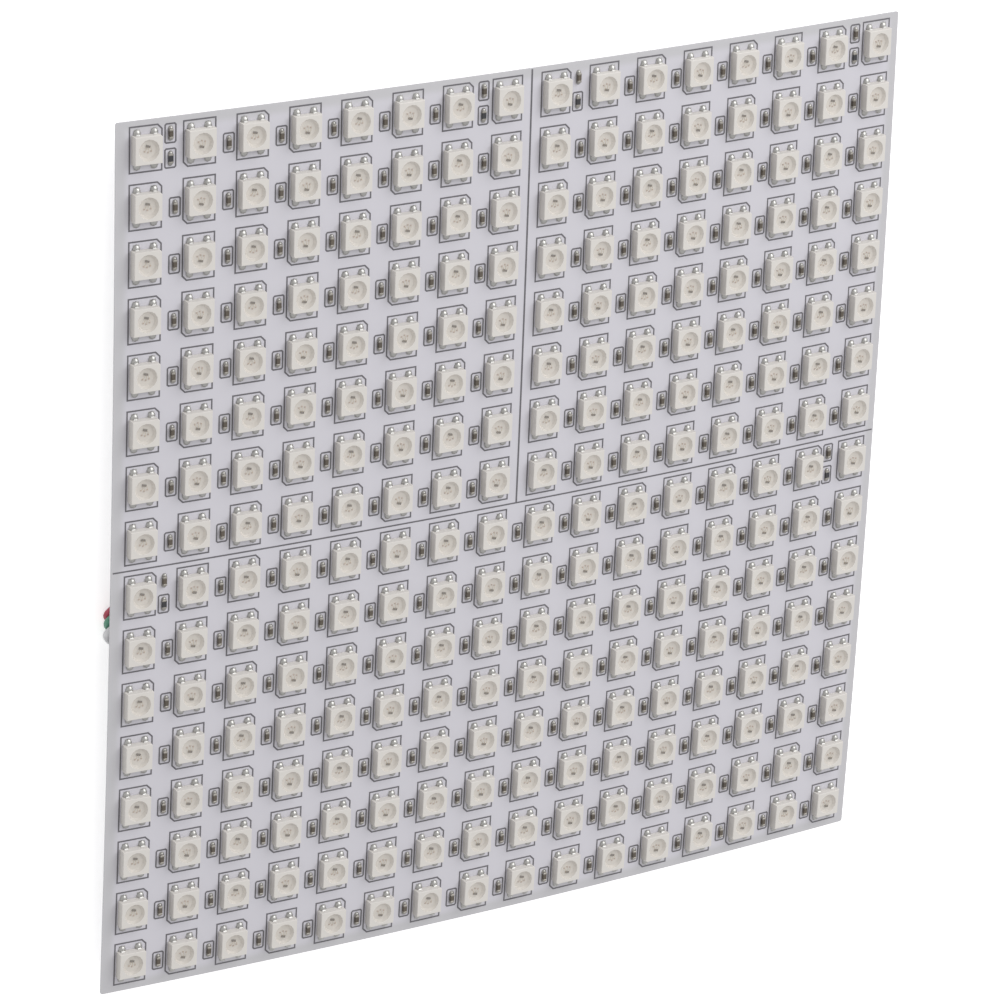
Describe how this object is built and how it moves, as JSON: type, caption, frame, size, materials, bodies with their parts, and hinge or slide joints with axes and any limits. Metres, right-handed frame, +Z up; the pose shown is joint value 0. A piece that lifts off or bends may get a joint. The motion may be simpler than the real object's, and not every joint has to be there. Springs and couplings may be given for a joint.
{
  "type": "rgb led matrix panel",
  "caption": "Flexible square LED matrix panel: a thin bowed white circuit sheet with a grid of LED packages, chip capacitors and a short three wire lead with connector.",
  "frame": {"origin": "centre of the panel's outline, on the surface that it lies on", "axes": "+Z up out of the LED side, +X right along a row of LEDs, +Y up a column"},
  "size_m": [0.1605, 0.1604, 0.0079],
  "materials": {
    "solder_mask": "white flexible solder mask with dark printed outlines",
    "led_body": "white moulded LED package with a cloudy resin window",
    "capacitor_ceramic": "brown ceramic with tinned ends",
    "resistor_body": "black chip resistor with tinned ends",
    "tinned_copper": "tinned copper pad",
    "solder": "bright solder",
    "red_insulation": "red wire insulation",
    "green_insulation": "green wire insulation",
    "white_insulation": "white wire insulation",
    "connector_plastic": "white moulded nylon connector housing",
    "contact_metal": "tinned crimp contact"
  },
  "bodies": {
    "root": {"flex_circuit": "solder_mask", "led_column_01": "led_body", "led_column_02": "led_body", "led_column_03": "led_body", "led_column_04": "led_body", "led_column_05": "led_body", "led_column_06": "led_body", "led_column_07": "led_body", "led_column_08": "led_body", "led_column_09": "led_body", "led_column_10": "led_body", "led_column_11": "led_body", "led_column_12": "led_body", "led_column_13": "led_body", "led_column_14": "led_body", "led_column_15": "led_body", "led_column_16": "led_body", "capacitors_01": "capacitor_ceramic", "capacitors_02": "capacitor_ceramic", "capacitors_03": "capacitor_ceramic", "capacitors_04": "capacitor_ceramic", "capacitors_05": "capacitor_ceramic", "capacitors_06": "capacitor_ceramic", "capacitors_07": "capacitor_ceramic", "capacitors_08": "capacitor_ceramic", "capacitors_09": "capacitor_ceramic", "capacitors_10": "capacitor_ceramic", "capacitors_11": "capacitor_ceramic", "capacitors_12": "capacitor_ceramic", "capacitors_13": "capacitor_ceramic", "capacitors_14": "capacitor_ceramic", "capacitors_15": "capacitor_ceramic", "data_resistors": "resistor_body", "lead_pads": "tinned_copper", "output_pads": "tinned_copper", "power_pads": "tinned_copper", "lead_joints": "solder", "red_wire": "red_insulation", "green_wire": "green_insulation", "white_wire": "white_insulation", "connector_housing": "connector_plastic", "connector_contacts": "contact_metal"}
  },
  "joints": []
}
